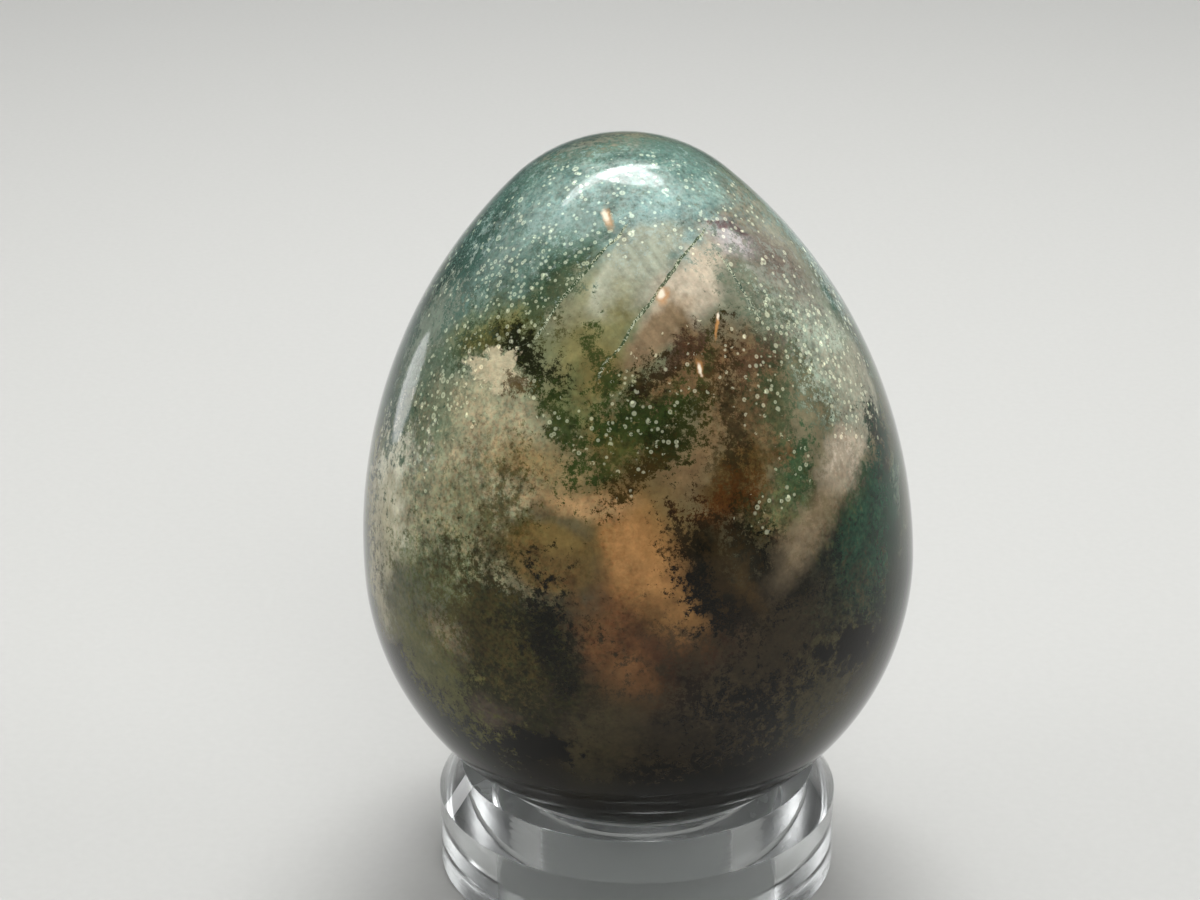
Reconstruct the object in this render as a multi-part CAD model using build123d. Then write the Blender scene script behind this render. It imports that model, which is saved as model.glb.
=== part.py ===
from build123d import *
import os
from math import atan2, degrees, sqrt

# A polished stone egg that stands blunt end down in a clear ring.
# Millimetres, +Z up. The origin is on the table, on the ring's axis.
# -X is the viewer's left when the egg is seen from its front, which faces -Y.

# Egg, measured on its own axis
EGG_HEIGHT = 55.0
EGG_WIDTH = 43.0
TIP_RADIUS = 12.2
EGG_LEAN = 3.0  # degrees that the pointed end leans towards -X

# Ring
RING_DIAMETER = 32.0
RING_HEIGHT = 9.0
BORE_DIAMETER = 23.0
TOP_BEVEL_WIDTH = 1.8
TOP_BEVEL_HEIGHT = 2.6
FOOT_EDGE_BREAK = 0.3

# Seat ground into the top of the bore to the curve of the blunt end
SEAT_WIDTH = 0.5
SEAT_CLEARANCE = 0.15

# Worked out from the sizes above
blunt_radius = EGG_WIDTH / 2
ring_radius = RING_DIAMETER / 2
bore_radius = BORE_DIAMETER / 2
seat_sphere_radius = blunt_radius + SEAT_CLEARANCE
seat_rim_radius = bore_radius + SEAT_WIDTH
blunt_centre_height = RING_HEIGHT + sqrt(seat_sphere_radius**2 - seat_rim_radius**2)


def make_egg() -> Part:
    """Turn a three-arc outline about the egg's axis, then lean it in its seat.

    The blunt end is a hemisphere, so the egg keeps its fit in the ring at any lean.
    """
    tip_centre_height = EGG_HEIGHT - blunt_radius - TIP_RADIUS
    radius_drop = blunt_radius - TIP_RADIUS
    flank_radius = (tip_centre_height**2 + blunt_radius**2 - TIP_RADIUS**2) / (2 * radius_drop)
    flank_centre = (blunt_radius - flank_radius, 0)
    flank_turn = degrees(atan2(tip_centre_height, flank_radius - blunt_radius))
    with BuildPart() as egg:
        with BuildSketch(Plane.XZ):
            with BuildLine():
                blunt_end = CenterArc((0, 0), blunt_radius, -90, 90)
                CenterArc(flank_centre, flank_radius, 0, flank_turn)
                tip = CenterArc((0, tip_centre_height), TIP_RADIUS, flank_turn, 90 - flank_turn)
                Line(tip @ 1, blunt_end @ 0)
            make_face()
        revolve(axis=Axis.Z)
    return Pos(0, 0, blunt_centre_height) * Rot(0, -EGG_LEAN, 0) * egg.part


def make_ring() -> Part:
    """Turn the ring's section about Z and grind the egg's seat into its inner top edge."""
    with BuildPart() as ring:
        with BuildSketch(Plane.XZ):
            with BuildLine():
                Polyline(
                    (bore_radius + FOOT_EDGE_BREAK, 0),
                    (ring_radius - FOOT_EDGE_BREAK, 0),
                    (ring_radius, FOOT_EDGE_BREAK),
                    (ring_radius, RING_HEIGHT - TOP_BEVEL_HEIGHT),
                    (ring_radius - TOP_BEVEL_WIDTH, RING_HEIGHT),
                    (bore_radius, RING_HEIGHT),
                    (bore_radius, FOOT_EDGE_BREAK),
                    close=True,
                )
            make_face()
        revolve(axis=Axis.Z)
        with Locations((0, 0, blunt_centre_height)):
            Sphere(seat_sphere_radius, mode=Mode.SUBTRACT)
    return ring.part


os.makedirs("parts", exist_ok=True)
export_step(make_egg(), "parts/stone_egg.step")
export_step(make_ring(), "parts/acrylic_ring.step")
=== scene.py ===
"""Looks of a polished moss agate egg that stands in a clear acrylic ring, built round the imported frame."""
import logging
import math
from dataclasses import dataclass, field, replace
from enum import Enum
from typing import Any

import bpy
from mathutils import Matrix, Vector, noise


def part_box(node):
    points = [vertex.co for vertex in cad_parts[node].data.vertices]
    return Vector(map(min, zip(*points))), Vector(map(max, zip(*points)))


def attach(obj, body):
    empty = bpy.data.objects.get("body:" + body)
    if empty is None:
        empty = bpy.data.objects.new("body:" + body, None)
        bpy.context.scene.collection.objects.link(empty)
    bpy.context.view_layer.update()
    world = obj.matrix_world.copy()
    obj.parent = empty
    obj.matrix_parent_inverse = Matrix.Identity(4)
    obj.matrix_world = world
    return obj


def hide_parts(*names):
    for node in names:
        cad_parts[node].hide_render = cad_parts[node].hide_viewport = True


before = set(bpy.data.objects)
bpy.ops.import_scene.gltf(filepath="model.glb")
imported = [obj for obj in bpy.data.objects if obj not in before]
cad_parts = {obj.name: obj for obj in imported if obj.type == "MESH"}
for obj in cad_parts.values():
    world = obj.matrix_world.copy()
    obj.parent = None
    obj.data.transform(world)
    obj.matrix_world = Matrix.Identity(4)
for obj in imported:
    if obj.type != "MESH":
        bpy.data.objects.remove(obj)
log = logging.getLogger("egg_on_stand")

MM = 0.001
UP = Vector((0, 0, 1))
SENSOR_WIDTH = 36.0
WHITE = (1.0, 1.0, 1.0, 1.0)
# A Mix node that blends colours, and its sockets for the colour under, the colour over and the result
BLEND = {"data_type": "RGBA"}
UNDER, OVER, BLENDED = 6, 7, 2
# A Map Range node that eases in and out
EASED = {"interpolation_type": "SMOOTHSTEP"}


def linear(hex_colour: str) -> tuple[float, float, float, float]:
    """Turn an sRGB hex colour into linear RGBA.

    Args:
        hex_colour: Six hex digits after a hash sign.

    Returns:
        Linear red, green and blue, with an alpha of 1.
    """
    parts = [int(hex_colour[i : i + 2], 16) / 255 for i in (1, 3, 5)]
    red, green, blue = (v / 12.92 if v <= 0.04045 else ((v + 0.055) / 1.055) ** 2.4 for v in parts)
    return red, green, blue, 1.0


def add_node(
    tree: bpy.types.NodeTree,
    kind: str,
    settings: dict[str, Any] | None = None,
    inputs: dict[int | str, Any] | None = None,
    output: int | str = 0,
) -> bpy.types.NodeSocket:
    """Add one node, set it up and link it.

    Args:
        tree: Node tree that takes the node.
        kind: Blender's name for the node type, after ShaderNode.
        settings: Attributes of the node and their values.
        inputs: Input sockets, by name or number, each with a value or with the socket that feeds it.
        output: The output that is wanted, by name or number.

    Returns:
        That output of the new node.
    """
    node = tree.nodes.new("ShaderNode" + kind)
    for name, value in (settings or {}).items():
        setattr(node, name, value)
    for key, value in (inputs or {}).items():
        if isinstance(value, bpy.types.NodeSocket):
            tree.links.new(value, node.inputs[key])
        else:
            node.inputs[key].default_value = value
    return node.outputs[output]


def new_material(name: str) -> tuple[bpy.types.Material, bpy.types.NodeTree, bpy.types.Node]:
    """Start a node material.

    Args:
        name: Name of the material.

    Returns:
        The material, its node tree and its Principled shader.
    """
    material = bpy.data.materials.new(name)
    material.use_nodes = True
    tree = material.node_tree
    return material, tree, tree.nodes["Principled BSDF"]


def new_mesh_object(name: str, points: list[Vector], faces: list[tuple[int, ...]]) -> bpy.types.Object:
    """Put a smooth-shaded mesh into the scene.

    Args:
        name: Name of the object and its mesh.
        points: Vertices in metres.
        faces: Vertex numbers of each face, counter-clockwise from outside.

    Returns:
        The new object.
    """
    mesh = bpy.data.meshes.new(name)
    mesh.from_pydata(points, [], faces)
    mesh.shade_smooth()
    piece = bpy.data.objects.new(name, mesh)
    bpy.context.scene.collection.objects.link(piece)
    return piece


class Side(Enum):
    """Which side of the egg the eye stands on, as its azimuth in degrees."""

    FRONT = 0
    RIGHT = 90
    BACK = 180
    LEFT = 270


class Grain(Enum):
    """A noise in the stone: its coarsest grain in millimetres, its octaves and their roughness."""

    CLOUDS = (4.0, 5, 0.58)
    MOSS = (1.5, 5, 0.72)
    FLECKS = (0.9, 4, 0.9)
    GRIT = (0.35, 2, 0.6)

    @property
    def size(self) -> float:
        """Size of the coarsest grain in millimetres."""
        return self.value[0]

    @property
    def octaves(self) -> int:
        """How many times a grain twice as fine is added."""
        return self.value[1]

    @property
    def roughness(self) -> float:
        """Strength of each finer octave against the one before."""
        return self.value[2]


class Edge(Enum):
    """How the border of a spot looks: its softness, how far a noise frays it, and which noise."""

    HAZY = (0.80, 1.6, Grain.CLOUDS)
    CLOUDY = (0.50, 2.6, Grain.CLOUDS)
    MOSSY = (0.34, 5.0, Grain.MOSS)
    FLECKED = (0.45, 7.0, Grain.FLECKS)
    VEILED = (0.16, 1.1, Grain.CLOUDS)
    RAGGED = (0.20, 3.6, Grain.MOSS)
    CRISP = (0.16, 1.6, Grain.MOSS)
    # Border of the painted glints
    PAINTED_SPARK_EDGE = (0.60, 1.0, Grain.GRIT)

    @property
    def softness(self) -> float:
        """Half-width of the blend, in parts of the spot's half-size."""
        return self.value[0]

    @property
    def fraying(self) -> float:
        """How far the border wanders, in parts of the spot's half-size."""
        return self.value[1]

    @property
    def grain(self) -> Grain:
        """The noise that frays the border."""
        return self.value[2]

    @property
    def drifts(self) -> bool:
        """Whether slow swirls bend the spot out of its plain outline."""
        return self not in (Edge.VEILED, Edge.CRISP, Edge.PAINTED_SPARK_EDGE)


class Tint(Enum):
    """Colours of the chalcedony and of the minerals in it, and of the glints, glow and shade painted into
    it.
    """

    DEEP_TEAL = "#2A463D"
    TEAL = "#456358"
    SAGE = "#88A6A3"
    GREY_TEAL = "#587064"
    PALE_CROWN = "#B8CCC6"
    FLANK_MINT = "#BCC4B2"
    BAND_SAGE = "#7A9288"
    FERN = "#4E6650"
    OLIVE_SHELF = "#76754A"
    PALE_SAGE = "#AFB19C"
    DULL_SAGE = "#8C8A6C"
    OLIVE_SAGE = "#757A58"
    GREY_GREEN = "#6E7459"
    PALE_GREEN = "#828A70"
    OLIVE = "#817B50"
    LEAF = "#6E744C"
    OLIVE_TAN = "#786A3F"
    BROWN_OLIVE = "#60592F"
    BEIGE = "#C6B9A3"
    DULL_BEIGE = "#8D785C"
    GREY_SAGE = "#828471"
    MINT = "#98A291"
    PALE_MINT = "#A09F8D"
    LILAC = "#BEB7B6"
    MAUVE = "#7F776A"
    MAROON = "#62494A"
    TAUPE = "#79674B"
    GREY_TAUPE = "#787158"
    UMBER = "#735B3E"
    CREAM = "#C4B999"
    CRUMB = "#54452A"
    # Painted glint colours: a bright core and its warm rim
    PAINTED_SPARK_CORE = "#FFF3DA"
    PAINTED_SPARK_RIM = "#D79A5C"
    PALE_GRANITE = "#BAB292"
    GRANITE = "#B2AA8C"
    BONE = "#D2D0BA"
    WARM_TAUPE = "#96835C"
    ROSE_TAUPE = "#7B6446"
    PEACH_RIM = "#BD986B"
    PEACH = "#B28350"
    # Partly peach chalcedony, partly painted glow of light passing through it
    GLOW = "#BE8D58"
    CLAY = "#906B3F"
    DARK_CLAY = "#7C5634"
    COFFEE = "#4C3020"
    TAN = "#75623A"
    SHADED_TAN = "#6A5633"
    DRAB = "#5A4228"
    KHAKI = "#A29E7E"
    DARK_KHAKI = "#62634A"
    BROWN = "#604A28"
    BAND_BEIGE = "#C6B8A4"
    STREAK_BEIGE = "#84745C"
    PINK_GREY = "#7C7258"
    PINK_BROWN = "#54483C"
    MIDDLE = "#6E6246"
    # Dark brown of the lower half: partly the stone's moss, partly painted shade
    LOW_MOSS = "#2B2913"
    LOW_BROWN_AND_SHADE = "#1C1811"
    DRAB_BROWN = "#3A3122"
    NEAR_BLACK = "#110F0B"
    PINE = "#192119"
    OLIVE_BLACK = "#22231A"
    RIM_MOSS = "#1F3F35"
    RIM_GREEN = "#2E5F4E"
    BAND_MOSS = "#3F5C4C"
    FERN_MOSS = "#33492F"
    SHELF_MOSS = "#45441F"
    BLACK_OLIVE = "#1E200E"
    FLANK_MOSS = "#485E4A"
    VINE_MOSS = "#33401C"
    MOSS = "#34381A"
    BLACK_MOSS = "#262A0C"
    APEX_MOSS = "#3F3113"
    RED_BROWN = "#3A241B"
    LUMP_BROWN = "#2E2613"
    RUST_BROWN = "#54392A"
    RUST = "#5A3310"
    DULL_MAROON = "#5E4C4C"
    CLUSTER_GREEN = "#3E5438"
    CLUSTER_TAN = "#A48C62"
    PINE_MOSS = "#12201A"
    SEA_GREEN = "#2E6448"
    KHAKI_MOSS = "#5E5C34"
    GREEN_MOSS = "#4C5A30"
    BROWN_MOSS = "#4E4521"
    LOW_BLACK = "#14130B"
    LOW_LIGHT = "#453E28"


@dataclass(frozen=True)
class Spot:
    """One body in the stone, placed as the eye sees it.

    Attributes:
        name: What it is.
        across: Millimetres right of the blunt end's centre, as seen.
        up: Millimetres above that centre, as seen.
        length: Half-length in millimetres.
        width: Half-width in millimetres.
        turn: Degrees by which the length is turned counter-clockwise from level.
    """

    name: str
    across: float
    up: float
    length: float
    width: float
    turn: float


@dataclass(frozen=True)
class Patch(Spot):
    """A body with a colour of its own.

    Attributes:
        tint: Its colour.
        edge: What its border looks like.
        strength: How far it covers what lies under it, from 0 to 1.
        side: The side of the egg that it is placed on.
    """

    tint: Tint
    edge: Edge
    strength: float = 1.0
    side: Side = Side.FRONT


@dataclass(frozen=True)
class Zone(Spot):
    """A body that the stone changes its make in, without a colour of its own.

    Attributes:
        strength: How far the stone changes there, from 0 to 1.
        side: The side of the egg that it is placed on.
        edge: What its border looks like.
    """

    strength: float = 1.0
    side: Side = Side.FRONT
    edge: Edge = Edge.CLOUDY


# Soft clouds of colour in the chalcedony, lowest first
CLOUDS = (
    # Broad fields that the rest lies on
    Patch("middle_ground", 0.0, 4.5, 20.0, 11.5, 0, Tint.MIDDLE, Edge.HAZY),
    # A broad dark field over the lower half: partly the stone's dark moss, partly painted shade
    Patch("dark_base_and_shade", 0.0, -13.5, 23.0, 11.0, 0, Tint.LOW_BROWN_AND_SHADE, Edge.HAZY),
    Patch("right_ground", 13.0, 11.5, 8.0, 6.0, -60, Tint.GREY_TAUPE, Edge.HAZY),
    Patch("wedge_ground", -4.5, 17.0, 9.0, 6.0, 55, Tint.OLIVE_SAGE, Edge.HAZY),
    Patch("left_ground", -14.8, 9.0, 9.0, 4.5, 74, Tint.PALE_GREEN, Edge.HAZY),
    # Back and sides
    Patch("back_crown_haze", 0.5, 26.5, 9.0, 3.4, -4, Tint.SAGE, Edge.CLOUDY, 0.85, Side.BACK),
    Patch("back_shoulder", 11.5, 18.5, 7.0, 3.0, -58, Tint.GREY_SAGE, Edge.CLOUDY, 0.85, Side.BACK),
    Patch("back_left_haze", -10.5, 19.5, 6.0, 2.6, 52, Tint.BAND_SAGE, Edge.CLOUDY, 0.8, Side.BACK),
    Patch("back_pale", 4.0, 17.5, 7.0, 3.2, -50, Tint.PALE_SAGE, Edge.CLOUDY, 0.9, Side.BACK),
    Patch("back_beige", 8.6, 12.6, 5.0, 2.0, -48, Tint.BEIGE, Edge.CLOUDY, 0.9, Side.BACK),
    Patch("back_olive", -3.0, 14.0, 6.0, 3.0, 60, Tint.OLIVE, Edge.CLOUDY, 1.0, Side.BACK),
    Patch("back_taupe", -8.0, 8.0, 6.0, 4.0, 20, Tint.TAUPE, Edge.CLOUDY, 1.0, Side.BACK),
    Patch("back_granite", 12.0, 3.5, 6.0, 4.0, 30, Tint.GRANITE, Edge.CLOUDY, 1.0, Side.BACK),
    Patch("back_clay", -2.0, 0.0, 6.5, 3.6, -20, Tint.TAN, Edge.HAZY, 1.0, Side.BACK),
    Patch("back_peach", -3.6, 1.6, 3.2, 1.8, 30, Tint.CLAY, Edge.HAZY, 0.8, Side.BACK),
    Patch("back_coffee", 3.0, -5.5, 6.0, 3.0, 10, Tint.COFFEE, Edge.HAZY, 1.0, Side.BACK),
    Patch("back_khaki", 11.0, -3.5, 6.0, 3.5, -20, Tint.DARK_KHAKI, Edge.CLOUDY, 1.0, Side.BACK),
    Patch("back_pine", -15.0, 0.0, 7.0, 4.0, 85, Tint.PINE, Edge.CLOUDY, 1.0, Side.BACK),
    # The same dark field on the back: partly dark moss, partly painted shade
    Patch("back_bottom_and_shade", 0.0, -15.0, 18.0, 7.0, 0, Tint.LOW_BROWN_AND_SHADE, Edge.HAZY, 1.0, Side.BACK),
    Patch("right_side_beige", 2.0, 7.5, 4.5, 2.4, 40, Tint.STREAK_BEIGE, Edge.CLOUDY, 1.0, Side.RIGHT),
    Patch("left_side_granite", -4.0, 9.0, 5.0, 3.4, 50, Tint.PALE_GRANITE, Edge.CLOUDY, 1.0, Side.LEFT),
    Patch("right_side_clay", 5.0, 3.5, 3.6, 1.8, -35, Tint.CLAY, Edge.HAZY, 0.7, Side.RIGHT),
    Patch("left_side_khaki", -2.0, -1.0, 8.0, 4.0, 10, Tint.KHAKI, Edge.CLOUDY, 1.0, Side.LEFT),
    # Crown
    Patch("crown", -1.5, 27.5, 10.5, 4.5, -4, Tint.SAGE, Edge.HAZY),
    Patch("left_shoulder", -13.0, 22.5, 6.5, 2.5, 52, Tint.TEAL, Edge.HAZY),
    Patch("band_ground", -9.3, 21.0, 8.6, 3.2, 42, Tint.BAND_SAGE, Edge.CLOUDY),
    Patch("fern_band", -6.9, 20.8, 5.4, 1.3, 50, Tint.FERN, Edge.CLOUDY, 0.8),
    Patch("olive_shelf", -11.7, 17.4, 4.2, 2.0, 20, Tint.OLIVE_SHELF, Edge.CLOUDY),
    Patch("dull_wedge", -4.0, 19.8, 3.6, 2.2, 50, Tint.DULL_SAGE, Edge.CLOUDY),
    Patch("pale_wedge", -0.5, 22.0, 5.4, 2.4, 52, Tint.PALE_SAGE, Edge.VEILED, 0.85),
    Patch("olive_wedge", -4.2, 15.2, 5.2, 2.6, 58, Tint.OLIVE, Edge.CLOUDY),
    Patch("leaf_wedge", -5.0, 11.6, 3.2, 1.9, 62, Tint.LEAF, Edge.CLOUDY),
    Patch("olive_foot", -2.9, 13.6, 2.6, 1.6, 60, Tint.OLIVE_TAN, Edge.HAZY),
    Patch("right_flank", 11.9, 19.6, 7.9, 4.2, -52, Tint.GREY_SAGE, Edge.CLOUDY),
    Patch("right_flank_low", 14.7, 15.6, 6.2, 2.6, -62, Tint.MINT, Edge.CLOUDY),
    Patch("beige_wedge", 4.1, 20.9, 4.8, 2.1, 56, Tint.BEIGE, Edge.CLOUDY),
    Patch("beige_foot", 1.4, 16.8, 3.8, 1.5, 52, Tint.DULL_BEIGE, Edge.CLOUDY),
    Patch("mauve_shoulder", 11.0, 22.4, 4.0, 1.6, -48, Tint.MAUVE, Edge.HAZY),
    Patch("shoulder_haze", 9.9, 26.0, 3.6, 0.9, -42, Tint.PALE_MINT, Edge.HAZY, 0.8),
    Patch("lilac_spot", 7.4, 24.5, 1.9, 0.8, -28, Tint.LILAC, Edge.HAZY),
    Patch("maroon_arc", 6.8, 25.4, 1.6, 0.25, -15, Tint.MAROON, Edge.CLOUDY, 0.8),
    Patch("mint_eye", 17.4, 12.5, 2.4, 1.3, -72, Tint.PALE_MINT, Edge.CLOUDY),
    # Middle
    Patch("grey_taupe", 12.7, 12.5, 5.0, 2.8, -65, Tint.GREY_TAUPE, Edge.CLOUDY),
    Patch("taupe_field", 8.2, 11.5, 6.5, 3.2, -80, Tint.TAUPE, Edge.CLOUDY),
    Patch("umber_field", 4.2, 13.6, 4.0, 1.9, 42, Tint.UMBER, Edge.CLOUDY),
    Patch("pale_granite", -11.7, 9.2, 5.2, 3.6, -40, Tint.PALE_GRANITE, Edge.CLOUDY),
    Patch("granite_low", -13.2, 5.4, 4.6, 2.6, -20, Tint.GRANITE, Edge.CLOUDY),
    Patch("olive_window", -2.2, 8.4, 2.6, 1.7, 20, Tint.OLIVE_TAN, Edge.HAZY),
    Patch("warm_taupe", -7.5, 6.2, 4.4, 1.9, -25, Tint.WARM_TAUPE, Edge.HAZY),
    Patch("rose_streak", 4.4, 7.2, 5.2, 1.5, 52, Tint.ROSE_TAUPE, Edge.HAZY),
    Patch("brown_field", 8.0, 6.0, 3.6, 2.2, 20, Tint.BROWN, Edge.CLOUDY),
    Patch("bone_edge", -19.3, 4.2, 4.8, 1.9, 82, Tint.BONE, Edge.MOSSY),
    # Lower half
    Patch("left_khaki", -14.8, 0.3, 6.4, 4.6, -15, Tint.KHAKI, Edge.CLOUDY),
    Patch("left_rim_pale", -20.2, 0.0, 6.0, 1.7, 88, Tint.GRANITE, Edge.CLOUDY, 0.9),
    Patch("left_low_khaki", -16.0, -5.6, 6.0, 3.0, -52, Tint.DARK_KHAKI, Edge.CLOUDY),
    Patch("tan_ground", -0.2, 1.8, 4.8, 3.4, -30, Tint.TAN, Edge.HAZY),
    Patch("dark_clay", 0.2, -7.2, 5.2, 4.2, -80, Tint.DARK_CLAY, Edge.HAZY),
    Patch("coffee_right", 5.6, -7.2, 5.6, 2.4, 0, Tint.COFFEE, Edge.HAZY),
    Patch("clay_right", 2.8, -4.2, 3.8, 2.2, -40, Tint.CLAY, Edge.HAZY),
    Patch("peach_core", 0.5, -0.8, 4.2, 2.7, -62, Tint.PEACH, Edge.HAZY),
    # Partly the peach chalcedony and partly painted glow of light passing through the stone
    Patch("peach_glow", -1.4, 0.3, 2.2, 1.3, -65, Tint.GLOW, Edge.HAZY),
    Patch("peach_rim", -4.6, 3.6, 3.4, 1.0, -4, Tint.PEACH_RIM, Edge.HAZY),
    Patch("tan_fold", -7.3, -0.4, 3.8, 2.9, -15, Tint.TAN, Edge.VEILED),
    Patch("khaki_bottom", -2.6, -15.4, 3.6, 3.4, 80, Tint.LOW_LIGHT, Edge.HAZY),
    Patch("taupe_triangle", -7.0, -1.6, 3.2, 2.0, -15, Tint.SHADED_TAN, Edge.CLOUDY),
    Patch("drab_left", -4.8, -4.2, 2.4, 1.0, -55, Tint.DRAB, Edge.CLOUDY, 0.8),
    Patch("low_left", -10.2, -9.3, 5.6, 5.0, -20, Tint.LOW_MOSS, Edge.VEILED),
    Patch("pink_grey_spot", -15.2, -7.0, 2.0, 1.2, -50, Tint.PINK_GREY, Edge.HAZY),
    Patch("pink_low", -11.6, -12.8, 1.8, 0.9, -25, Tint.PINK_BROWN, Edge.HAZY, 0.8),
    Patch("dark_right", 12.0, -10.5, 9.0, 6.0, 25, Tint.NEAR_BLACK, Edge.HAZY),
    Patch("dark_right_low", 9.8, -14.5, 9.0, 5.4, 10, Tint.NEAR_BLACK, Edge.VEILED, 0.7),
    Patch("right_black", 13.5, -4.0, 5.0, 3.0, 0, Tint.NEAR_BLACK, Edge.HAZY),
    Patch("pine_flank", 18.0, -0.5, 6.5, 3.2, 80, Tint.PINE, Edge.CLOUDY),
    Patch("olive_rim", 15.1, -13.0, 4.0, 1.8, 45, Tint.OLIVE_BLACK, Edge.HAZY),
    Patch("left_low_rim", -14.4, -14.6, 3.5, 1.4, -40, Tint.OLIVE_BLACK, Edge.HAZY),
    Patch("dark_bottom", 3.5, -18.5, 6.0, 3.0, 0, Tint.NEAR_BLACK, Edge.HAZY),
)

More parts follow.
